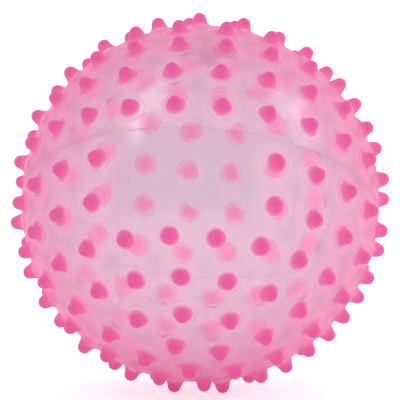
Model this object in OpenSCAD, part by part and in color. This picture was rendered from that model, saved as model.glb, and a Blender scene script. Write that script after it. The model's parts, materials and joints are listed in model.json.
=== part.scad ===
// Inflatable sensory ball: a soft skin in two halves, rings of solid nubs and a push-in air plug.
// The ball is drawn about its own poles, seam level, and is then turned to lie on three nubs.

/* [Skin] */
// Diameter of the ball over the nub tips
ball_d = 200; // [140:1:300]
// Thickness of the skin
skin_wall = 1.2; // [0.8:0.1:2]
// Height of the bead that stands out along the seam
seam_bead_h = 0.25; // [0.1:0.05:0.5]
// Radius of the seam bead's round back
seam_bead_r = 0.55; // [0.3:0.05:0.8]

/* [Nubs] */
// Height of a nub above the skin
nub_h = 6.6; // [5:0.1:9]
// Radius of a nub's round tip
nub_tip_r = 3.5; // [2:0.1:4]
// Slope of a nub's side, in degrees from straight
nub_draft = 16; // [4:1:25]
// Radius of the hollow flare round a nub's foot
nub_flare_r = 2.2; // [1:0.1:3]
// Latitude of the first ring of nubs on each side of the seam, in degrees
first_ring_lat = 7.9; // [7:0.1:9]
// Latitude from one ring of nubs to the next, in degrees
ring_step = 13.55; // [12.8:0.05:13.6]

/* [Bare panel] */
// Longitude of the middle of the bare panel, in degrees right of the front
panel_lon = -6; // [-12:1:6]
// Number of nubs that the bare panel leaves out of a ring
panel_nubs = 3; // [0:1:6]
// Number of lower rings that the bare panel interrupts
panel_rings = 2; // [1:1:3]

/* [Valve] */
// Diameter of the valve seat's collar, which fills the hole in the skin
collar_d = 14; // [13:0.5:18]
// Diameter of the seat's flange inside the skin
flange_d = 24; // [20:0.5:30]
// Thickness of the seat's flange
flange_t = 1.6; // [1:0.1:2.5]
// Length of the seat's stem below its flange
stem_len = 8; // [5:0.5:12]
// Wall of the seat's stem round its bore
stem_wall = 2.4; // [1.5:0.1:3]
// Diameter of the bore that the plug fills
bore_d = 6; // [4:0.1:6.5]
// Diameter of the plug's head
plug_head_d = 9.6; // [8:0.1:11]
// Thickness of the plug's head
plug_head_t = 1.4; // [1:0.1:2]
// Depth of the plug's head below the skin's surface
plug_sink = 0.2; // [0:0.05:0.5]
// Length of the plug's tapered tip
plug_tip_len = 3; // [1:0.1:4]
// Gap round the plug's head in its recess
head_gap = 0.3; // [0.2:0.05:0.6]
// Gap round the plug's shank in the bore
shank_gap = 0.05; // [0.02:0.01:0.1]

/* [How it lies] */
// Longitude of the back side that the ball lies on, in degrees right of the front
rest_lon = 172; // [167:1:177]
// Latitude of the side that faces the front, in degrees
front_lat = -24; // [-40:1:10]

/* [Hidden] */
$fn = 96;

// The two halves, as the sign of their latitude
UPPER = 1;
LOWER = -1;

// Number of nubs in each ring, counted from the seam towards the pole
upper_counts = [24, 22, 20, 16, 12, 6];
lower_counts = [24, 22, 20, 16, 11, 6];
// Longitude of one nub of each of those rings
upper_starts = [-10, 4, 6, 7, -8.5, 30];
lower_starts = [24, 26, 7, -7, -7, -20];

// Rings whose nubs the ball lies on: one nub of the first, two of the second
foot_ring_out = 4;
foot_ring_in = 5;

skin_color = [0.95, 0.72, 0.83, 0.6];
nub_color = [0.9, 0.36, 0.62];
valve_color = [0.97, 0.86, 0.91];

// Radii of the skin's two faces
skin_r = ball_d / 2 - nub_h;
inner_r = skin_r - skin_wall;
// Sides of the skin's circle, fine enough for a nub's foot
skin_sides = 720;
// Room to cut past an edge
cut = 1;

// Nub section: the tip's centre, and the flare's centre where it touches side and skin
tip_z = nub_h - nub_tip_r;
flare_x = (nub_tip_r + nub_flare_r + sin(nub_draft) * (tip_z - nub_flare_r)) / cos(nub_draft);
side_dir = [cos(nub_draft), sin(nub_draft)];

// Valve section, up the pole
collar_r = collar_d / 2;
bore_r = bore_d / 2;
stem_r = bore_r + stem_wall;
stem_end = inner_r - flange_t - stem_len;
recess_r = plug_head_d / 2 + head_gap;
recess_floor = skin_r - plug_sink - plug_head_t;

// Direction of a point of the ball from its centre
function polar(lat, lon) = [cos(lat) * sin(lon), -cos(lat) * cos(lon), sin(lat)];
function unit(v) = v / norm(v);
// Longitude brought to between -180 and 180
function wrap(lon) = lon - 360 * floor((lon + 180) / 360);

// Rings are counted from 1 at the seam
function ring_lat(half, ring) = half * (first_ring_lat + (ring - 1) * ring_step);
function start(half, ring) = (half == UPPER ? upper_starts : lower_starts)[ring - 1];
function ring_count(half, ring) = (half == UPPER ? upper_counts : lower_counts)[ring - 1];
function nub_lon(half, ring, i) = start(half, ring) + i * 360 / ring_count(half, ring);
function nub_dir(half, ring, i) = polar(ring_lat(half, ring), nub_lon(half, ring, i));
// Place of a longitude along a ring, counted in nubs
function along(half, ring, lon) = (lon - start(half, ring)) * ring_count(half, ring) / 360;
function in_panel(half, ring, lon) =
    half == LOWER && ring <= panel_rings
    && abs(wrap(lon - panel_lon)) * ring_count(half, ring) / 360 < panel_nubs / 2;

// The three nubs that the ball lies on, and the directions of the lying ball
foot_far = nub_dir(LOWER, foot_ring_out, round(along(LOWER, foot_ring_out, rest_lon)));
foot_left = nub_dir(LOWER, foot_ring_in, floor(along(LOWER, foot_ring_in, rest_lon)));
foot_right = nub_dir(LOWER, foot_ring_in, floor(along(LOWER, foot_ring_in, rest_lon)) + 1);
foot_normal = unit(cross(foot_left - foot_far, foot_right - foot_far));
up = foot_normal * foot_far > 0 ? -foot_normal : foot_normal;
front = polar(front_lat, 0);
back = -unit(front - (front * up) * up);
right = cross(back, up);

// Turns the ball from its poles to how it lies
module lying() {
    multmatrix([concat(right, 0), concat(back, 0), concat(up, 0), [0, 0, 0, 1]]) children();
}

// One half of the hollow skin with its half of the seam bead, pole up
module half_skin() {
    rotate_extrude() {
        intersection() {
            union() {
                circle(r = skin_r);
                translate([skin_r + seam_bead_h - seam_bead_r, 0]) circle(r = seam_bead_r);
            }
            difference() {
                square(skin_r + seam_bead_h + cut);
                circle(r = inner_r);
            }
        }
    }
}

// Section of a nub above the skin's top: round tip, sloping side, hollow flare
module nub_section() {
    translate([0, tip_z]) intersection() {
        circle(r = nub_tip_r);
        translate([0, -nub_tip_r]) square([nub_tip_r, 2 * nub_tip_r]);
    }
    difference() {
        polygon([
            [0, -cut],
            [flare_x, -cut],
            [flare_x, nub_flare_r],
            [flare_x, nub_flare_r] - nub_flare_r * side_dir,
            [0, tip_z] + nub_tip_r * side_dir,
            [0, tip_z]
        ]);
        translate([flare_x, nub_flare_r]) circle(r = nub_flare_r);
    }
}

// A nub at the upper pole, its foot hollowed to sit on the skin
module nub() {
    rotate_extrude() {
        difference() {
            translate([0, skin_r]) nub_section();
            circle(r = skin_r, $fn = skin_sides);
        }
    }
}

module nub_at(lat, lon) {
    rotate([90 - lat, 0, lon]) nub();
}

module nub_ring(half, ring) {
    for (i = [0 : ring_count(half, ring) - 1]) {
        lon = nub_lon(half, ring, i);
        if (!in_panel(half, ring, lon)) nub_at(ring_lat(half, ring), lon);
    }
}

module upper_skin() {
    color(skin_color) lying() difference() {
        half_skin();
        translate([0, 0, inner_r - flange_t - cut]) cylinder(r = collar_r, h = ball_d);
    }
}

module lower_skin() {
    color(skin_color) lying() mirror([0, 0, 1]) half_skin();
}

module upper_nub_ring_1() { color(nub_color) lying() nub_ring(UPPER, 1); }
module upper_nub_ring_2() { color(nub_color) lying() nub_ring(UPPER, 2); }
module upper_nub_ring_3() { color(nub_color) lying() nub_ring(UPPER, 3); }
module upper_nub_ring_4() { color(nub_color) lying() nub_ring(UPPER, 4); }
module upper_nub_ring_5() { color(nub_color) lying() nub_ring(UPPER, 5); }
module upper_nub_ring_6() { color(nub_color) lying() nub_ring(UPPER, 6); }
module lower_nub_ring_1() { color(nub_color) lying() nub_ring(LOWER, 1); }
module lower_nub_ring_2() { color(nub_color) lying() nub_ring(LOWER, 2); }
module lower_nub_ring_3() { color(nub_color) lying() nub_ring(LOWER, 3); }
module lower_nub_ring_4() { color(nub_color) lying() nub_ring(LOWER, 4); }
module lower_nub_ring_5() { color(nub_color) lying() nub_ring(LOWER, 5); }
module lower_nub_ring_6() { color(nub_color) lying() nub_ring(LOWER, 6); }
module lower_end_nub() { color(nub_color) lying() nub_at(-90, 0); }

// Seat: a collar in the skin's hole, a flange under the skin and a bored stem
module valve_seat() {
    color(valve_color) lying() rotate_extrude() difference() {
        union() {
            intersection() {
                circle(r = skin_r);
                translate([0, inner_r - flange_t]) square([collar_r, flange_t + skin_wall + cut]);
            }
            intersection() {
                difference() {
                    circle(r = inner_r);
                    circle(r = inner_r - flange_t);
                }
                translate([0, stem_end]) square([flange_d / 2, inner_r]);
            }
            translate([0, stem_end]) square([stem_r, stem_len + flange_t / 2]);
        }
        translate([0, stem_end - cut]) square([bore_r, skin_r]);
        translate([0, recess_floor]) square([recess_r, skin_r]);
    }
}

// Plug: a flat head on the floor of its recess, a shank in the bore and a tapered tip
module valve_plug() {
    shank_r = bore_r - shank_gap;
    head_r = plug_head_d / 2;
    color(valve_color) lying() rotate_extrude() polygon([
        [0, stem_end - plug_tip_len],
        [shank_r / 2, stem_end - plug_tip_len],
        [shank_r, stem_end],
        [shank_r, recess_floor],
        [head_r, recess_floor],
        [head_r, recess_floor + plug_head_t],
        [0, recess_floor + plug_head_t]
    ]);
}

upper_skin();
lower_skin();
upper_nub_ring_1();
upper_nub_ring_2();
upper_nub_ring_3();
upper_nub_ring_4();
upper_nub_ring_5();
upper_nub_ring_6();
lower_nub_ring_1();
lower_nub_ring_2();
lower_nub_ring_3();
lower_nub_ring_4();
lower_nub_ring_5();
lower_nub_ring_6();
lower_end_nub();
valve_seat();
valve_plug();
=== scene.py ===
"""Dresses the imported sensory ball: translucent skin, soft-footed nubs, milky valve, and a white studio."""

import json
import math

import bpy
import numpy as np
from bpy.props import FloatProperty, FloatVectorProperty, IntProperty, PointerProperty
from mathutils import Matrix, Vector
from mathutils.geometry import delaunay_2d_cdt


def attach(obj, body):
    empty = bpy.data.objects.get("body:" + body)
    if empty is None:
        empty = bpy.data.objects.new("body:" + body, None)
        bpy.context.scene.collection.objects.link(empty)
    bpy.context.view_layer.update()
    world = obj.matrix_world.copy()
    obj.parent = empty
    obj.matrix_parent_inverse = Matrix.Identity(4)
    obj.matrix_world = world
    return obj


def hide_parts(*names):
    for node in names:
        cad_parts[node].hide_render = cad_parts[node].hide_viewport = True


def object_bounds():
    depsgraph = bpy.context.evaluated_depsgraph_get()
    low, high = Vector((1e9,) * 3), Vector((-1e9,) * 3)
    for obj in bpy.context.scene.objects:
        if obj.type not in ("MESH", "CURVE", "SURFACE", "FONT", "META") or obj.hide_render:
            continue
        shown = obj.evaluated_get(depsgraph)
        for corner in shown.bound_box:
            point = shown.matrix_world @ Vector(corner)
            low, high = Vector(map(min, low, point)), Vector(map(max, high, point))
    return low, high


bl_info = {
    "name": "Sensory ball looks",
    "version": (1, 0, 0),
    "blender": (4, 5, 0),
    "location": "3D View > Sidebar > Sensory ball",
    "description": "Builds the looks of an inflatable sensory ball around its packed solids",
    "category": "Object",
}

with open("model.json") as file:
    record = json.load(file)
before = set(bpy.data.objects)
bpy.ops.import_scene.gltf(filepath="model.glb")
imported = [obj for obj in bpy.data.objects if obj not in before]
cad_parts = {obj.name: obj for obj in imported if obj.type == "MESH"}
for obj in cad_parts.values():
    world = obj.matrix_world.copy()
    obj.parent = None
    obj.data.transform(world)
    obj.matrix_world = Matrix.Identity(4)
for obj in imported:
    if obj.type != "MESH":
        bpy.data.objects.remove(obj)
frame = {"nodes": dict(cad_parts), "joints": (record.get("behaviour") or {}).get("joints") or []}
CAD_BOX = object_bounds()

MM = 0.001
POLE = Vector(frame["joints"][0]["axis"]).normalized()
HALVES = {"upper": POLE, "lower": -POLE}
NUB_NODES = sorted(name for name in frame["nodes"] if "nub" in name)
# Two nubs of one node are never this close, seen from the centre of the ball
SAME_NUB_ANGLE = math.radians(4)
# Depth of the cap of a tip that shows where its nub stands
TIP_CAP = 0.3 * MM


def frame_points(node):
    """Vertices of a CAD node, as an array of points."""
    mesh = frame["nodes"][node].data
    flat = np.empty(3 * len(mesh.vertices), np.float32)
    mesh.vertices.foreach_get("co", flat)
    return flat.reshape(-1, 3).astype(float)


def reach(points):
    """Distance of each point from the centre of the ball."""
    return np.linalg.norm(points, axis=-1)


def nub_axes(node):
    """Directions from the centre of the ball to the tips of a node's nubs."""
    points = frame_points(node)
    tips = points[reach(points) > reach(points).max() - TIP_CAP]
    tips = tips[np.argsort(-reach(tips), kind="stable")]
    axes = []
    for tip in tips / reach(tips)[:, None]:
        if all(tip @ other < math.cos(SAME_NUB_ANGLE) for other in axes):
            axes.append(tip)
    return np.array(axes)


# Radii of the ball and of the valve seat's flange, and the floor's height, read from the solids
SKIN_R = float(reach(frame_points("lower_end_nub")).min())
INNER_R = float(reach(frame_points("lower_skin")).min())
BEAD_R = float(reach(frame_points("lower_skin")).max())
TIP_R = float(reach(frame_points("lower_end_nub")).max())
FLOOR_Z = float(CAD_BOX[0].z)
FLANGE_R = float(reach(np.cross(frame_points("valve_seat"), np.array(POLE))).max())
# How far the skin's inner face stands off the nubs' roots and off the flange, and how far past the flange
ROOT_GAP = 0.03 * MM
FLANGE_GAP = 0.25 * MM
FLANGE_MARGIN = 5 * MM


class SkinLook(bpy.types.PropertyGroup):
    """Sizes and colours of the translucent skin."""

    colour: FloatVectorProperty(
        name="Colour", description="Milky pink of the skin away from the nubs",
        subtype="COLOR", size=3, default=(0.66, 0.36, 0.50))
    glow: FloatVectorProperty(
        name="Glow", description="Pink that a nub lends to the skin round it",
        subtype="COLOR", size=3, default=(0.90, 0.48, 0.66))
    opacity: FloatProperty(
        name="Opacity", description="Share of light that one face of the skin stops, seen square on",
        subtype="FACTOR", default=0.30, min=0, max=1)
    clear: FloatVectorProperty(
        name="Clear", description="Tint of what is seen through one face of the skin",
        subtype="COLOR", size=3, default=(0.952, 0.997, 0.993))
    sheer: FloatProperty(
        name="Light through", description="Share of the scattered light that goes on through the skin",
        subtype="FACTOR", default=0.35, min=0, max=1)
    roughness: FloatProperty(
        name="Roughness", description="Mean roughness of the skin",
        subtype="FACTOR", default=0.2, min=0, max=1)
    bead_round: FloatProperty(
        name="Bead radius", description="Radius of the round back of the seam bead",
        unit="LENGTH", default=0.55 * MM)
    seam: FloatVectorProperty(
        name="Seam", description="Deeper pink of the weld along the seam",
        subtype="COLOR", size=3, default=(0.68, 0.32, 0.48))
    seam_cover: FloatProperty(
        name="Seam cover", description="Share of light that the weld stops besides what the skin stops",
        subtype="FACTOR", default=0.06, min=0, max=1)
    ring_line: FloatProperty(
        name="Witness ring line", description="Strength of the faint mould ring round each nub",
        subtype="FACTOR", default=0.4, min=0, max=1)
    ring: FloatVectorProperty(
        name="Witness ring", description="Pink of the faint mould ring",
        subtype="COLOR", size=3, default=(0.78, 0.20, 0.44))
    sheen: FloatProperty(
        name="Sheen", description="Soft pink sheen of the skin where it is seen edge on",
        subtype="FACTOR", default=1.0, min=0, max=1)
    sheen_tint: FloatVectorProperty(
        name="Sheen tint", description="Pink of the sheen",
        subtype="COLOR", size=3, default=(1.0, 0.15, 0.4))
    sheen_rough: FloatProperty(
        name="Sheen roughness", description="Roughness of the sheen",
        subtype="FACTOR", default=0.5, min=0, max=1)
    weld: FloatVectorProperty(
        name="Weld", description="Pink of the joint between the halves, which is clear",
        subtype="COLOR", size=3, default=(0.9, 0.6, 0.75))
    groove: FloatProperty(
        name="Seam groove", description="Depth of the parting line along the middle of the bead",
        unit="LENGTH", default=0.05 * MM)
    ring_r: FloatProperty(
        name="Witness ring radius", description="Radius of the faint mould ring round each nub",
        unit="LENGTH", default=7.6 * MM)
    ring_w: FloatProperty(
        name="Witness ring width", description="Half width of the faint mould ring",
        unit="LENGTH", default=0.5 * MM)
    ring_h: FloatProperty(
        name="Witness ring height", description="Height of the faint mould ring",
        unit="LENGTH", default=0.07 * MM)
    hole_r: FloatProperty(
        name="Valve hole radius", description="Radius of the hole that the valve's collar fills",
        unit="LENGTH", default=7.05 * MM)


class NubLook(bpy.types.PropertyGroup):
    """Sizes and colours of the nubs."""

    body: FloatVectorProperty(
        name="Body", description="Hot pink of a nub",
        subtype="COLOR", size=3, default=(0.77, 0.135, 0.39))
    foot: FloatVectorProperty(
        name="Foot", description="Paler pink of the flare round a nub's foot",
        subtype="COLOR", size=3, default=(0.84, 0.21, 0.47))
    tip_round: FloatProperty(
        name="Tip radius", description="Radius of a nub's round tip",
        unit="LENGTH", default=3.5 * MM)
    draft: FloatProperty(
        name="Draft", description="Slope of a nub's side from straight",
        subtype="ANGLE", default=math.radians(16))
    flare: FloatProperty(
        name="Flare radius", description="Radius of the hollow flare round a nub's foot",
        unit="LENGTH", default=2.2 * MM)
    feather: FloatProperty(
        name="Feather", description="Width beyond the flare over which a nub thins out on the skin",
        unit="LENGTH", default=1.2 * MM)
    root: FloatProperty(
        name="Root", description="Depth of a nub's root, just through the wall of the skin",
        unit="LENGTH", default=1.26 * MM)
    light_depth: FloatProperty(
        name="Light depth", description="How far light travels inside a nub",
        unit="LENGTH", default=3.0 * MM)
    skirt: FloatProperty(
        name="Skirt cover",
        description="Share of light that the thin skirt round the foot stops, seen square on",
        subtype="FACTOR", default=0.17, min=0, max=1)
    thicken: FloatProperty(
        name="Thicken", description="How much faster than a plain film the skirt gets dense at a slant",
        default=1.6, min=1, max=3)
    inside: FloatVectorProperty(
        name="Root pink", description="Pink of a nub's root, seen inside the ball",
        subtype="COLOR", size=3, default=(0.98, 0.35, 0.66))
    edge: FloatVectorProperty(
        name="Root edge", description="Paler pink at the edge of a nub's root",
        subtype="COLOR", size=3, default=(0.97, 0.48, 0.72))
    rim: FloatVectorProperty(
        name="Flare edge", description="Pink of the thin edge of the flare",
        subtype="COLOR", size=3, default=(0.87, 0.27, 0.54))
    # Painted glow: pink emission at a nub's root, standing in for light that the nub gathers, so that its
    # root seen through the skin looks bright; it also lights the inside of the ball
    painted_root_glow: FloatVectorProperty(
        name="Bloom", description="Fluorescent pink that a nub's root sends into the ball",
        subtype="COLOR", size=3, default=(0.85, 0.03, 0.16))
    sheer: FloatProperty(
        name="Light through", description="Share of the scattered light that goes on through a nub",
        subtype="FACTOR", default=0.35, min=0, max=1)
    root_sheer: FloatProperty(
        name="Light through root", description="Share of the scattered light that goes on through a root",
        subtype="FACTOR", default=0.75, min=0, max=1)
    # Strength of the root's painted glow
    painted_root_glow_power: FloatProperty(
        name="Bloom power", description="Strength of the bloom", default=1.5, min=0)
    soft: FloatProperty(
        name="Softness", description="Share of light that scatters inside a nub",
        subtype="FACTOR", default=0.7, min=0, max=1)
    bleed: FloatVectorProperty(
        name="Bleed", description="Share of the light depth that red, green and blue travel",
        size=3, default=(1.0, 0.25, 0.5))
    gloss: FloatProperty(
        name="Gloss", description="Strength of a nub's highlights",
        subtype="FACTOR", default=0.15, min=0, max=1)
    roughness: FloatProperty(
        name="Roughness", description="Mean roughness of a nub",
        subtype="FACTOR", default=0.5, min=0, max=1)
    ripple: FloatProperty(
        name="Ripple scale", description="Fineness of a nub's ripple", default=160.0, min=0)
    wander: FloatProperty(
        name="Wander", description="How far the edge of a root's patch wanders, in millimetres",
        default=6.0, min=0)
    wander_scale: FloatProperty(
        name="Wander scale", description="Fineness of the wander", default=150.0, min=0)
    sides: IntProperty(
        name="Sides", description="Faces round a nub", default=36, min=12, max=96)


class ValveLook(bpy.types.PropertyGroup):
    """Colours of the valve."""

    seat: FloatVectorProperty(
        name="Seat", description="Milky pink of the valve seat",
        subtype="COLOR", size=3, default=(0.93, 0.66, 0.77))
    plug: FloatVectorProperty(
        name="Plug", description="Paler pink of the plug",
        subtype="COLOR", size=3, default=(0.94, 0.76, 0.84))
    seat_cover: FloatProperty(
        name="Seat cover", description="Share of light that one face of the valve seat stops",
        subtype="FACTOR", default=0.45, min=0, max=1)
    plug_cover: FloatProperty(
        name="Plug cover", description="Share of light that one face of the plug stops",
        subtype="FACTOR", default=0.9, min=0, max=1)
    sheer: FloatProperty(
        name="Light through", description="Share of the scattered light that goes on through the valve",
        subtype="FACTOR", default=0.5, min=0, max=1)
    deep: FloatProperty(
        name="Deep", description="Share of its brightness that a colour of the valve keeps in deep clouds",
        subtype="FACTOR", default=0.9, min=0, max=1)
    cloud: FloatProperty(
        name="Cloud scale", description="Fineness of the clouds in the valve's plastic", default=220.0, min=0)
    roughness: FloatProperty(
        name="Roughness", description="Mean roughness of the valve",
        subtype="FACTOR", default=0.45, min=0, max=1)
    ripple: FloatProperty(
        name="Ripple scale", description="Fineness of the valve's ripple", default=300.0, min=0)
    edge: FloatProperty(
        name="Edge rounding", description="Rounding of the valve's edges",
        unit="LENGTH", default=0.2 * MM)


class StageLook(bpy.types.PropertyGroup):
    """Camera, lamps and floor."""

    elevation: FloatProperty(
        name="Elevation", description="Height of the view above the horizon",
        subtype="ANGLE", default=math.radians(7.4))
    distance: FloatProperty(
        name="Distance", description="Distance of the camera from the centre of the ball",
        unit="LENGTH", default=5.6)
    skin_px: FloatProperty(
        name="Skin radius", description="Radius of the skin in a picture 400 pixels wide, in pixels",
        default=178.4)
    off_right_px: FloatProperty(
        name="Right of centre", description="Place of the ball right of the picture's middle, in pixels",
        default=0.3)
    off_down_px: FloatProperty(
        name="Below centre", description="Place of the ball below the picture's middle, in pixels",
        default=3.55)
    lean: FloatProperty(
        name="Lean", description="How much more light comes from behind than from the camera's side",
        default=0.2, min=0)
    fill: FloatProperty(
        name="Fill", description="Strength of the light from all round", default=1.08, min=0)
    floor: FloatVectorProperty(
        name="Floor", description="Colour of the floor as a light",
        subtype="COLOR", size=3, default=(0.95, 0.95, 0.95))
    floor_seen: FloatVectorProperty(
        name="Floor seen", description="Colour of the floor as the camera sees it, with a whiter shadow",
        subtype="COLOR", size=3, default=(0.65, 0.65, 0.65))
    floor_glow: FloatProperty(
        name="Floor glow", description="Light of the floor's own", default=0.2, min=0)
    floor_glow_seen: FloatProperty(
        name="Floor glow seen", description="What the camera sees of the floor's own light besides",
        default=0.3, min=0)
    floor_rough: FloatProperty(
        name="Floor roughness", description="Roughness of the floor",
        subtype="FACTOR", default=0.9, min=0, max=1)
    floor_half: FloatProperty(
        name="Floor half width", description="Half the width of the floor", unit="LENGTH", default=4.0)


# Distances from a nub's axis, in millimetres, over which its body's pink, its body and its thin skirt fade
PINK_FADE = (2.8, 4.8)
BODY_FADE = (3.7, 6.2)
SKIRT_FADE = (5.4, 7.2)
# The same for the pink, the cover and the edge of its root, and for the hole that it leaves in the skin
ROOT_FADE = (1.0, 4.8)
GHOST_FADE = (2.4, 8.4)
GHOST_EDGE = (5.4, 7.1)
HOLE_FADE = (3.0, 7.5)
# The same for the pink that a nub lends to the skin
GLOW_FADE = (6.0, 18.0)
# Distances from the line of a mould ring, in millimetres, over which it fades
RING_FADE = (0.1, 0.5)
# Distances from the seam, in millimetres, over which its line fades
SEAM_FADE = (0.1, 0.55)
# Depth of the moulded surface's ripple and grain
BUMP_DEPTH = 0.02 * MM
# A film gets no denser when it is seen at less than this share of square on
LEAST_SQUARE = 0.2


# Node helpers


def add_node(tree, kind, inputs=None, **settings):
    """Adds a node, with its settings, and sets or links its inputs."""
    node = tree.nodes.new(kind)
    for name, value in settings.items():
        setattr(node, name, value)
    for name, value in (inputs or {}).items():
        if isinstance(value, bpy.types.NodeSocket):
            tree.links.new(value, node.inputs[name])
        else:
            node.inputs[name].default_value = value
    return node


def math_node(tree, operation, first, second=0.5, clamp=False):
    """Output of a Math node on two values or sockets."""
    node = add_node(tree, "ShaderNodeMath", {0: first, 1: second}, operation=operation, use_clamp=clamp)
    return node.outputs[0]


def mix_colour(tree, factor, first, second):
    """Output of a colour mix."""
    node = add_node(tree, "ShaderNodeMix", {0: factor, 6: first, 7: second}, data_type="RGBA")
    return node.outputs[2]


def ramp_value(tree, value, low, high):
    """Output of a smooth step of a value from 0 at low to 1 at high."""
    node = add_node(
        tree, "ShaderNodeMapRange", {"Value": value, "From Min": low, "From Max": high},
        interpolation_type="SMOOTHSTEP")
    return node.outputs["Result"]


def fade_out(tree, value, span):
    """Output of a smooth step of a value from 1 at the start of a span to 0 at its end."""
    return ramp_value(tree, value, span[1], span[0])


def attribute(tree, name):
    """Output of a float attribute of the mesh."""
    return add_node(tree, "ShaderNodeAttribute", attribute_name=name).outputs["Fac"]


def rgba(colour):
    """A colour with its alpha."""
    return (*colour, 1.0)


def new_material(name):
    """An empty node material, its tree and its Principled shader."""
    material = bpy.data.materials.new(name)
    material.use_nodes = True
    tree = material.node_tree
    return material, tree, tree.nodes["Principled BSDF"]


def moulded_surface():
    """Node group: the soft ripple and fine grain of moulded plastic, as a height and a roughness."""
    group = bpy.data.node_groups.new("moulded_surface", "ShaderNodeTree")
    face = group.interface
    for name, default in (("Ripple Scale", 90.0), ("Grain Scale", 1500.0), ("Grain Share", 0.2),
                          ("Roughness", 0.35), ("Roughness Spread", 0.08)):
        face.new_socket(name, in_out="INPUT", socket_type="NodeSocketFloat").default_value = default
    for name in ("Height", "Roughness"):
        face.new_socket(name, in_out="OUTPUT", socket_type="NodeSocketFloat")
    given = group.nodes.new("NodeGroupInput").outputs
    place = add_node(group, "ShaderNodeTexCoord").outputs["Object"]
    ripple = add_node(
        group, "ShaderNodeTexNoise", {"Vector": place, "Scale": given["Ripple Scale"], "Detail": 2.0})
    grain = add_node(
        group, "ShaderNodeTexNoise", {"Vector": place, "Scale": given["Grain Scale"], "Detail": 1.0})
    fine = math_node(group, "MULTIPLY", grain.outputs["Fac"], given["Grain Share"])
    height = math_node(group, "ADD", ripple.outputs["Fac"], fine)
    swing = math_node(group, "SUBTRACT", ripple.outputs["Fac"], 0.5)
    spread = math_node(group, "MULTIPLY", swing, given["Roughness Spread"])
    rough = math_node(group, "ADD", given["Roughness"], spread, clamp=True)
    add_node(group, "NodeGroupOutput", {"Height": height, "Roughness": rough})
    return group


def use_moulded(tree, shader, values):
    """Gives a shader the moulded surface's roughness and bump."""
    group = bpy.data.node_groups.get("moulded_surface") or moulded_surface()
    node = add_node(tree, "ShaderNodeGroup", node_tree=group)
    for name, value in values.items():
        node.inputs[name].default_value = value
    tree.links.new(node.outputs["Roughness"], shader.inputs["Roughness"])
    bump = add_node(
        tree, "ShaderNodeBump", {"Height": node.outputs["Height"], "Strength": 1.0, "Distance": BUMP_DEPTH})
    tree.links.new(bump.outputs["Normal"], shader.inputs["Normal"])


# Materials


def slant_cover(tree, cover, thicken=1.0):
    """Share of light that a film stops when it is seen at a slant, from the share it stops square on."""
    facing = add_node(tree, "ShaderNodeLayerWeight", {"Blend": 0.5}).outputs["Facing"]
    square = math_node(tree, "MAXIMUM", math_node(tree, "SUBTRACT", 1.0, facing), LEAST_SQUARE)
    slant = math_node(tree, "POWER", math_node(tree, "DIVIDE", 1.0, square), thicken)
    passed = math_node(tree, "POWER", math_node(tree, "SUBTRACT", 1.0, cover, clamp=True), slant)
    return math_node(tree, "SUBTRACT", 1.0, passed, clamp=True)


def end_as_film(tree, shader, colour, through, cover, tint=(1, 1, 1)):
    """Ends a material as a film: shader and light let through, over what lies behind."""
    lit = add_node(tree, "ShaderNodeBsdfTranslucent", {"Color": colour})
    milky = add_node(tree, "ShaderNodeMixShader", {0: through, 1: shader.outputs[0], 2: lit.outputs[0]})
    clear = add_node(tree, "ShaderNodeBsdfTransparent", {"Color": rgba(tint)})
    film = add_node(tree, "ShaderNodeMixShader", {0: cover, 1: clear.outputs[0], 2: milky.outputs[0]})
    tree.links.new(film.outputs[0], tree.nodes["Material Output"].inputs["Surface"])


def skin_material(look):
    """Translucent skin: milky pink, pinker round the nubs and denser where it is seen edge on."""
    material, tree, shader = new_material("translucent_skin")
    near = attribute(tree, "nub_distance")
    glow = fade_out(tree, near, GLOW_FADE)
    plain = mix_colour(tree, glow, rgba(look.colour), rgba(look.glow))
    seam = fade_out(tree, attribute(tree, "seam_distance"), SEAM_FADE)
    off = math_node(tree, "ABSOLUTE", math_node(tree, "SUBTRACT", near, look.ring_r / MM))
    ring = math_node(tree, "MULTIPLY", fade_out(tree, off, RING_FADE), look.ring_line)
    ringed = mix_colour(tree, ring, plain, rgba(look.ring))
    colour = mix_colour(tree, seam, ringed, rgba(look.seam))
    tree.links.new(colour, shader.inputs["Base Color"])
    shader.inputs["Sheen Weight"].default_value = look.sheen
    shader.inputs["Sheen Tint"].default_value = rgba(look.sheen_tint)
    shader.inputs["Sheen Roughness"].default_value = look.sheen_rough
    use_moulded(tree, shader, {"Roughness": look.roughness})
    bare = ramp_value(tree, attribute(tree, "root_distance"), *HOLE_FADE)
    film = math_node(tree, "ADD", math_node(tree, "MULTIPLY", seam, look.seam_cover), look.opacity)
    cover = slant_cover(tree, math_node(tree, "MULTIPLY", film, bare))
    end_as_film(tree, shader, colour, look.sheer, cover, look.clear)
    return material


def weld_material(look):
    """Clear joint where the two halves are welded together."""
    material, tree, shader = new_material("welded_joint")
    shader.inputs["Base Color"].default_value = rgba(look.weld)
    shader.inputs["Alpha"].default_value = 0.0
    return material


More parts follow.
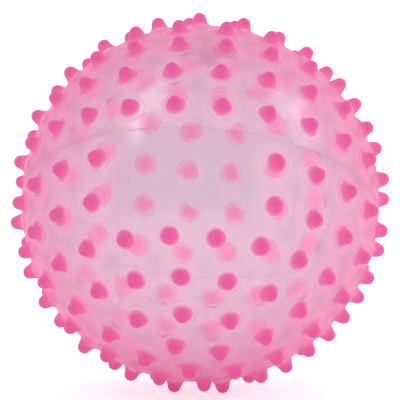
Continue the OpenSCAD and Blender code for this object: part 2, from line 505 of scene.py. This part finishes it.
def nub_material(look):
    """Hot pink nub that thins into the skin at its foot, with a soft pink root that shows inside the ball and
    gives off a painted pink glow.
    """
    material, tree, shader = new_material("nub_pink")
    spread = attribute(tree, "spread")
    root = attribute(tree, "root")
    body = fade_out(tree, spread, BODY_FADE)
    skirt = fade_out(tree, spread, SKIRT_FADE)
    flare = mix_colour(tree, skirt, rgba(look.rim), rgba(look.foot))
    outside = mix_colour(tree, fade_out(tree, spread, PINK_FADE), flare, rgba(look.body))
    inside = mix_colour(tree, fade_out(tree, spread, ROOT_FADE), rgba(look.edge), rgba(look.inside))
    colour = mix_colour(tree, root, outside, inside)
    tree.links.new(colour, shader.inputs["Base Color"])
    shader.inputs["Subsurface Weight"].default_value = look.soft
    shader.inputs["Subsurface Radius"].default_value = look.bleed
    shader.inputs["Subsurface Scale"].default_value = look.light_depth
    shader.inputs["Specular IOR Level"].default_value = look.gloss
    use_moulded(tree, shader, {"Roughness": look.roughness, "Ripple Scale": look.ripple})
    more = math_node(tree, "MULTIPLY", root, look.root_sheer - look.sheer)
    through = math_node(tree, "ADD", more, look.sheer)
    # Painted glow: the root gives off pink light of its own, standing in for light that the nub gathers, so
    # that its ghost through the skin looks bright
    tree.links.new(mix_colour(tree, root, (0, 0, 0, 1), rgba(look.painted_root_glow)), shader.inputs["Emission Color"])
    shader.inputs["Emission Strength"].default_value = look.painted_root_glow_power
    place = add_node(tree, "ShaderNodeTexCoord").outputs["Object"]
    noise = add_node(
        tree, "ShaderNodeTexNoise", {"Vector": place, "Scale": look.wander_scale, "Detail": 1.0})
    swing = math_node(tree, "MULTIPLY", math_node(tree, "SUBTRACT", noise.outputs["Fac"], 0.5), look.wander)
    patch = fade_out(tree, math_node(tree, "ADD", spread, swing), GHOST_FADE)
    ghost = math_node(tree, "MULTIPLY", patch, fade_out(tree, spread, GHOST_EDGE))
    solid = math_node(tree, "MAXIMUM", body, math_node(tree, "MULTIPLY", skirt, look.skirt))
    outer = math_node(tree, "MULTIPLY", solid, math_node(tree, "SUBTRACT", 1.0, root))
    inner = math_node(tree, "MULTIPLY", ghost, root)
    cover = slant_cover(tree, math_node(tree, "ADD", outer, inner), look.thicken)
    behind = add_node(tree, "ShaderNodeNewGeometry").outputs["Backfacing"]
    shown = math_node(tree, "MULTIPLY", cover, math_node(tree, "SUBTRACT", 1.0, behind))
    end_as_film(tree, shader, colour, through, shown)
    return material


def valve_material(name, colour, cover, look):
    """Milky soft plastic of the valve, which stops a share of the light at each of its faces."""
    material, tree, shader = new_material(name)
    place = add_node(tree, "ShaderNodeTexCoord").outputs["Object"]
    cloud = add_node(tree, "ShaderNodeTexNoise", {"Vector": place, "Scale": look.cloud, "Detail": 2.0})
    deep = rgba([look.deep * c for c in colour])
    milky = mix_colour(tree, cloud.outputs["Fac"], deep, rgba(colour))
    tree.links.new(milky, shader.inputs["Base Color"])
    use_moulded(tree, shader, {"Roughness": look.roughness, "Ripple Scale": look.ripple})
    end_as_film(tree, shader, milky, look.sheer, cover)
    return material


# Meshes

# Points along the seam and along the edge of the valve's hole
SEAM_COUNT = 480
HOLE_COUNT = 64
# Rows of points on the bead and on the skin beside it, as shares of where the bead meets the skin
BEAD_SHARES = (0.2, 0.4, 0.6, 0.8)
BESIDE_SHARES = (1.05, 1.4, 2.2, 4)
# Row of points on the inner face next to the seam
INNER_RIM = 1.5 * MM
# Circles of points round a nub on the outer face, as shares of the mould ring's radius and of its half width
OUTER_SHARES = (0.25, 0.5, 0.68, 0.78, 0.86)
RING_SHARES = (-1, -0.66, -0.33, 0, 0.33, 0.66, 1)
# Circles of points round a nub on the inner face, as shares of the mould ring's radius
INNER_SHARES = (0.3, 0.5, 0.62, 0.74, 0.9, 1.15)
# Points on such a circle and the gap between points elsewhere, on the two faces
OUTER_SIDES = 44
INNER_SIDES = 24
OUTER_GAP = 3.4 * MM
INNER_GAP = 4.2 * MM
# Share of that gap that is kept from the circles and rows
CLEAR_SHARE = 0.6
# Rows of points over a nub's tip and over its flare
ROUND_ROWS = 8
# Rows of points on a nub's feather, and its height over the skin
FEATHER_SHARES = (0.25, 0.5, 0.75, 1.0)
FEATHER_H = 0.01 * MM
# Rows of points on a nub's root, as shares of its radius
ROOT_SHARES = (0.97, 0.9, 0.82, 0.74, 0.66, 0.56, 0.4, 0.2)
# Edges sharper than this aren't shaded smooth
SHARP_ANGLE = math.radians(50)
# Edges of the valve sharper than this are rounded, in so many steps
BEVEL_ANGLE = math.radians(40)
BEVEL_SEGMENTS = 3


def across(axis):
    """Two directions square to an axis and to each other, right-handed with it."""
    axis = Vector(axis)
    first = axis.orthogonal().normalized()
    return np.array(first), np.array(axis.cross(first))


def spokes(axis, count):
    """Directions square to an axis, evenly round it."""
    first, second = across(axis)
    turn = np.arange(count) * 2 * math.pi / count
    return np.outer(np.cos(turn), first) + np.outer(np.sin(turn), second)


def circle_about(axis, angle, count):
    """Directions on a circle round an axis, at an angle from it."""
    return math.cos(angle) * np.array(axis) + math.sin(angle) * spokes(axis, count)


def spread_directions(count):
    """Directions spread evenly over a sphere, along a spiral."""
    step = np.arange(count) + 0.5
    height = 1 - 2 * step / count
    turn = step * math.pi * (3 - math.sqrt(5))
    flat = np.sqrt(1 - height**2)
    return np.stack([flat * np.cos(turn), flat * np.sin(turn), height], axis=1)


def nearest_nub(directions, axes):
    """Angle from each direction to the nearest nub."""
    return np.arccos(np.clip((directions @ axes.T).max(axis=1), -1, 1))


def triangulate(directions, axis, hole):
    """Triangles over directions on one half of the sphere, leaving a hole of that angle at the pole."""
    first, second = across(axis)
    up = directions @ np.array(axis)
    flat = np.stack([directions @ first, directions @ second], axis=1) / (1 + up)[:, None]
    made = delaunay_2d_cdt([Vector(p) for p in flat.tolist()], [], [], 0, 1e-9)
    origin = np.array([source[0] for source in made[3]])
    faces = origin[np.array(made[2])]
    middle = directions[faces].mean(axis=1)
    middle /= reach(middle)[:, None]
    return faces[middle @ np.array(axis) < math.cos(hole)] if hole else faces


def bead_rows(look):
    """Distance from the seam plane and from the axis for each row of points along the seam bead."""
    middle = BEAD_R - look.bead_round
    meet = math.sqrt(look.bead_round**2 - (SKIN_R - middle) ** 2)
    rows = [(0.0, BEAD_R - look.groove)]
    for share in BEAD_SHARES:
        z = share * meet
        rows.append((z, middle + math.sqrt(look.bead_round**2 - z**2)))
    for share in BESIDE_SHARES:
        z = share * meet
        rows.append((z, math.sqrt(SKIN_R**2 - z**2)))
    return rows


def shell_points(axis, axes, hole, rows, arcs, sides, gap):
    """Directions of one face of a half skin: seam rows, rings round the nubs, the hole's edge and a fill."""
    parts = [circle_about(axis, math.atan2(r, z), SEAM_COUNT) for z, r in rows]
    if hole:
        parts.append(circle_about(axis, hole, HOLE_COUNT))
    for nub in axes:
        parts.append(nub[None, :])
        for arc in arcs:
            parts.append(circle_about(nub, arc, sides))
    fill = spread_directions(int(4 * math.pi / gap**2))
    up = fill @ np.array(axis)
    clear = CLEAR_SHARE * gap
    free = nearest_nub(fill, axes) > arcs[-1] + clear
    free &= up > math.sin(math.atan2(*rows[-1]) + clear)
    if hole:
        free &= up < math.cos(hole + clear)
    parts.append(fill[free])
    return np.concatenate(parts)


def ring_ridge(arc_length, look):
    """Height of the witness ring at a distance from a nub's axis."""
    share = np.clip(np.abs(arc_length - look.ring_r) / look.ring_w, 0, 1)
    return look.ring_h * (0.5 + 0.5 * np.cos(math.pi * share))


def half_skin(name, axis, axes, all_axes, hole_r, look):
    """Mesh of one half of the skin: outer and inner face, seam rim and the edge of the valve's hole."""
    hole = hole_r / SKIN_R
    rows = bead_rows(look)
    arcs = [share * look.ring_r / SKIN_R for share in OUTER_SHARES]
    arcs += [(look.ring_r + share * look.ring_w) / SKIN_R for share in RING_SHARES]
    outer = shell_points(axis, axes, hole, rows, arcs, OUTER_SIDES, OUTER_GAP / SKIN_R)
    inner_rows = [(0.0, INNER_R), (INNER_RIM, INNER_R)]
    inner_arcs = [share * look.ring_r / SKIN_R for share in INNER_SHARES]
    inner = shell_points(axis, axes, hole, inner_rows, inner_arcs, INNER_SIDES, INNER_GAP / SKIN_R)

    far = nearest_nub(outer, axes) * SKIN_R
    height = SKIN_R + ring_ridge(far, look)
    count = SEAM_COUNT * len(rows)
    height[:count] = np.repeat([math.hypot(z, r) for z, r in rows], SEAM_COUNT)
    depth = np.full(len(inner), INNER_R + ROOT_GAP)
    if hole:
        by_flange = inner @ np.array(axis) > math.cos((FLANGE_R + FLANGE_MARGIN) / INNER_R)
        depth[by_flange] = INNER_R + FLANGE_GAP
    points = np.concatenate([outer * height[:, None], inner * depth[:, None]])
    start = len(outer)
    faces = triangulate(outer, axis, hole).tolist()
    faces += (triangulate(inner, axis, hole)[:, ::-1] + start).tolist()
    if hole:
        faces += bridge(start + SEAM_COUNT * len(inner_rows), count, HOLE_COUNT)
    faces += bridge(0, start, SEAM_COUNT)
    distance = nearest_nub(np.concatenate([outer, inner]), all_axes) * SKIN_R / MM
    seam = np.abs(points @ np.array(axis)) / MM
    seam[start:] = SEAM_FADE[1]
    root = distance.copy()
    root[:start] = HOLE_FADE[1]
    values = {"nub_distance": distance, "seam_distance": seam, "root_distance": root}
    return new_object(name, points, faces, values)


def bridge(first, second, count):
    """Quads between two rings of points that start at these indices."""
    quads = []
    for i in range(count):
        j = (i + 1) % count
        quads.append((first + j, first + i, second + i, second + j))
    return quads


def new_object(name, points, faces, values):
    """A smooth mesh object with float attributes, in the scene's collection."""
    mesh = bpy.data.meshes.new(name)
    mesh.from_pydata(points.tolist(), [], faces)
    for attribute_name, data in values.items():
        layer = mesh.attributes.new(attribute_name, "FLOAT", "POINT")
        layer.data.foreach_set("value", np.asarray(data, np.float32))
    mesh.shade_smooth()
    mesh.set_sharp_from_angle(angle=SHARP_ANGLE)
    mesh.validate()
    thing = bpy.data.objects.new(name, mesh)
    bpy.context.scene.collection.objects.link(thing)
    return thing


def nub_profile(look):
    """Rows of a nub from tip to root: distance from the axis and height over the skin's top."""
    nub_h = TIP_R - SKIN_R
    tip_z = nub_h - look.tip_round
    lean = look.draft
    flare_x = look.tip_round + look.flare + math.sin(lean) * (tip_z - look.flare)
    flare_x /= math.cos(lean)

    def skin_z(x):
        return math.sqrt(SKIN_R**2 - x**2) - SKIN_R

    rows = []
    for step in range(1, ROUND_ROWS + 1):
        turn = (math.pi / 2 - lean) * step / ROUND_ROWS
        rows.append((look.tip_round * math.sin(turn), tip_z + look.tip_round * math.cos(turn)))
    for step in range(ROUND_ROWS + 1):
        turn = lean + (math.pi / 2 - lean) * step / ROUND_ROWS
        x = flare_x - look.flare * math.cos(turn)
        z = look.flare * (1 - math.sin(turn))
        rows.append((x, z + skin_z(x) * step / ROUND_ROWS))
    for share in FEATHER_SHARES:
        x = flare_x + share * look.feather
        rows.append((x, skin_z(x) + FEATHER_H))
    for share in ROOT_SHARES:
        x = share * (flare_x + look.feather)
        rows.append((x, skin_z(x) - look.root))
    return rows


def nub_ring(name, axes, look):
    """Mesh of all the nubs of one node."""
    rows = nub_profile(look)
    count = look.sides
    points, faces, spread, root = [], [], [], []
    for axis in axes:
        base = len(root)
        ring = spokes(axis, count)
        points.append(axis[None, :] * TIP_R)
        spread.append(0.0)
        root.append(0.0)
        for x, z in rows:
            points.append(ring * x + axis * (SKIN_R + z))
            spread += [x / MM] * count
            root += [float(z < -look.root)] * count
        points.append(axis[None, :] * (SKIN_R - look.root))
        spread.append(0.0)
        root.append(1.0)
        last = len(root) - 1
        for i in range(count):
            j = (i + 1) % count
            faces.append((base, base + 1 + i, base + 1 + j))
            faces.append((last, last - count + j, last - count + i))
        for row in range(len(rows) - 1):
            top = base + 1 + row * count
            faces += bridge(top, top + count, count)
    return new_object(name, np.concatenate(points), faces, {"spread": spread, "root": root})


# Operators


class BALL_OT_skin(bpy.types.Operator):
    """Builds the two halves of the translucent skin"""

    bl_idname = "ball.skin"
    bl_label = "Skin"

    def execute(self, context):
        look = context.scene.ball_skin
        material = skin_material(look)
        weld = weld_material(look)
        all_axes = np.concatenate([nub_axes(node) for node in NUB_NODES])
        for half, axis in HALVES.items():
            axes = all_axes[all_axes @ np.array(axis) > 0]
            hole = look.hole_r if half == "upper" else 0.0
            piece = half_skin(f"{half}_half_skin", axis, axes, all_axes, hole, look)
            piece.data.materials.append(material)
            piece.data.materials.append(weld)
            for face in piece.data.polygons[-SEAM_COUNT:]:
                face.material_index = 1
            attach(piece, "ball")
            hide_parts(f"{half}_skin")
        return {"FINISHED"}


class BALL_OT_nubs(bpy.types.Operator):
    """Builds the rings of nubs and the nub on the lower pole"""

    bl_idname = "ball.nubs"
    bl_label = "Nubs"

    def execute(self, context):
        look = context.scene.ball_nubs
        material = nub_material(look)
        for node in NUB_NODES:
            piece = nub_ring(f"{node}_soft", nub_axes(node), look)
            piece.data.materials.append(material)
            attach(piece, "ball")
            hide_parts(node)
        return {"FINISHED"}


def dress_valve_piece(node, colour, cover, look):
    """Gives a valve solid its material and softens its edges."""
    solid = frame["nodes"][node]
    solid.data.materials.clear()
    solid.data.materials.append(valve_material(f"{node}_plastic", colour, cover, look))
    bevel = solid.modifiers.new("soft_edges", "BEVEL")
    bevel.width = look.edge
    bevel.segments = BEVEL_SEGMENTS
    bevel.limit_method = "ANGLE"
    bevel.angle_limit = BEVEL_ANGLE


class BALL_OT_valve_seat(bpy.types.Operator):
    """Dresses the valve seat"""

    bl_idname = "ball.valve_seat"
    bl_label = "Valve seat"

    def execute(self, context):
        look = context.scene.ball_valve
        dress_valve_piece("valve_seat", look.seat, look.seat_cover, look)
        return {"FINISHED"}


class BALL_OT_valve_plug(bpy.types.Operator):
    """Dresses the plug"""

    bl_idname = "ball.valve_plug"
    bl_label = "Valve plug"

    def execute(self, context):
        look = context.scene.ball_valve
        dress_valve_piece("valve_plug", look.plug, look.plug_cover, look)
        return {"FINISHED"}


# Width of the picture that the stage's pixels are counted in, and of the camera's sensor
PICTURE_PX = 400
SENSOR_MM = 36.0
# Lamps: name, direction, distance in metres, width and height, watts, roll in degrees and rays that miss it
LAMPS = (
    ("softbox_right", (1.0, 0.1, 0.15), 1.5, (0.8, 1.0), 4.0, 0.0, "visible_glossy"),
    ("card_left", (-0.523, -0.227, 0.821), 1.4, (0.16, 0.96), 10.0, 32.0, "visible_diffuse"),
    ("card_right", (0.76, 0.07, 0.647), 1.4, (0.3, 0.62), 7.7, -47.0, "visible_diffuse"),
)


def add_camera(look):
    """Camera at the height and distance of the view, aimed so that the ball sits in its place."""
    radii = look.distance / SKIN_R
    focal_px = look.skin_px * math.sqrt(radii**2 - 1)
    camera = bpy.data.objects.new("camera", bpy.data.cameras.new("camera"))
    bpy.context.scene.collection.objects.link(camera)
    camera.data.sensor_width = SENSOR_MM
    camera.data.lens = focal_px / PICTURE_PX * SENSOR_MM
    turn = Matrix.Rotation(math.pi / 2 - look.elevation, 4, "X")
    per_px = look.distance / focal_px
    offset = Vector((-look.off_right_px * per_px, look.off_down_px * per_px, look.distance))
    camera.matrix_world = Matrix.Translation(turn.to_3x3() @ offset) @ turn
    bpy.context.scene.camera = camera


def add_softbox(name, direction, distance, size, watts, roll):
    """Soft lamp in a direction from the ball, aimed at its centre and rolled about its aim."""
    lamp = bpy.data.lights.new(name, "AREA")
    lamp.shape = "RECTANGLE"
    lamp.size, lamp.size_y = size
    lamp.energy = watts
    thing = bpy.data.objects.new(name, lamp)
    away = Vector(direction).normalized()
    thing.location = away * distance
    turn = away.to_track_quat("Z", "Y").to_matrix() @ Matrix.Rotation(roll, 3, "Z")
    thing.rotation_euler = turn.to_euler()
    bpy.context.scene.collection.objects.link(thing)
    return thing


def seen_directly(tree):
    """Mask of rays that show the background: from the camera, a reflection or a refraction."""
    path = add_node(tree, "ShaderNodeLightPath").outputs
    mirrored = math_node(tree, "MAXIMUM", path["Is Glossy Ray"], path["Is Transmission Ray"])
    return math_node(tree, "MAXIMUM", path["Is Camera Ray"], mirrored)


def white_world(look):
    """White all round as a background; as a light, a little stronger from behind."""
    world = bpy.data.worlds.new("white_studio")
    bpy.context.scene.world = world
    world.use_nodes = True
    tree = world.node_tree
    place = add_node(tree, "ShaderNodeTexCoord").outputs["Generated"]
    depth = add_node(tree, "ShaderNodeSeparateXYZ", {"Vector": place}).outputs["Y"]
    light = math_node(tree, "ADD", math_node(tree, "MULTIPLY", depth, look.lean), look.fill)
    seen = seen_directly(tree)
    hidden = math_node(tree, "MULTIPLY", light, math_node(tree, "SUBTRACT", 1.0, seen))
    back = tree.nodes["Background"]
    back.inputs["Color"].default_value = (1, 1, 1, 1)
    tree.links.new(math_node(tree, "ADD", seen, hidden), back.inputs["Strength"])


def add_floor(look):
    """Large pale floor under the ball that stays white but keeps a soft shadow."""
    half = look.floor_half
    corners = np.array([(-half, -half, FLOOR_Z), (half, -half, FLOOR_Z),
                        (half, half, FLOOR_Z), (-half, half, FLOOR_Z)])
    floor = new_object("floor", corners, [(0, 1, 2, 3)], {})
    material, tree, shader = new_material("white_floor")
    seen = add_node(tree, "ShaderNodeLightPath").outputs["Is Camera Ray"]
    pale = mix_colour(tree, seen, rgba(look.floor), rgba(look.floor_seen))
    tree.links.new(pale, shader.inputs["Base Color"])
    shader.inputs["Roughness"].default_value = look.floor_rough
    shader.inputs["Emission Color"].default_value = (1, 1, 1, 1)
    more = math_node(tree, "MULTIPLY", seen, look.floor_glow_seen)
    tree.links.new(math_node(tree, "ADD", more, look.floor_glow), shader.inputs["Emission Strength"])
    floor.data.materials.append(material)


class BALL_OT_stage(bpy.types.Operator):
    """Sets up the camera, the soft lamps, the white surround and the floor"""

    bl_idname = "ball.stage"
    bl_label = "Stage"

    def execute(self, context):
        look = context.scene.ball_stage
        context.scene.view_settings.view_transform = "Standard"
        add_camera(look)
        white_world(look)
        add_floor(look)
        for name, direction, distance, size, watts, roll, left_out in LAMPS:
            lamp = add_softbox(name, direction, distance, size, watts, math.radians(roll))
            setattr(lamp, left_out, False)
        return {"FINISHED"}


class BALL_PT_panel(bpy.types.Panel):
    """Lists the pieces of the ball and their looks"""

    bl_label = "Sensory ball"
    bl_idname = "BALL_PT_panel"
    bl_space_type = "VIEW_3D"
    bl_region_type = "UI"
    bl_category = "Sensory ball"

    def draw(self, context):
        layout = self.layout
        for operator, group in PIECES:
            layout.operator(operator.bl_idname)
            look = getattr(context.scene, group)
            for name in look.bl_rna.properties.keys():
                if name not in ("rna_type", "name"):
                    layout.prop(look, name)


LOOKS = {"ball_skin": SkinLook, "ball_nubs": NubLook, "ball_valve": ValveLook, "ball_stage": StageLook}
PIECES = (
    (BALL_OT_skin, "ball_skin"),
    (BALL_OT_nubs, "ball_nubs"),
    (BALL_OT_valve_seat, "ball_valve"),
    (BALL_OT_valve_plug, "ball_valve"),
    (BALL_OT_stage, "ball_stage"),
)


def register():
    for group, look in LOOKS.items():
        bpy.utils.register_class(look)
        setattr(bpy.types.Scene, group, PointerProperty(type=look))
    for operator, _ in PIECES:
        bpy.utils.register_class(operator)
    bpy.utils.register_class(BALL_PT_panel)


def unregister():
    bpy.utils.unregister_class(BALL_PT_panel)
    for operator, _ in PIECES:
        bpy.utils.unregister_class(operator)
    for group, look in LOOKS.items():
        delattr(bpy.types.Scene, group)
        bpy.utils.unregister_class(look)


def main():
    """Builds every piece in order."""
    register()
    bpy.ops.ball.skin()
    bpy.ops.ball.nubs()
    bpy.ops.ball.valve_seat()
    bpy.ops.ball.valve_plug()
    bpy.ops.ball.stage()


if __name__ == "__main__":
    main()
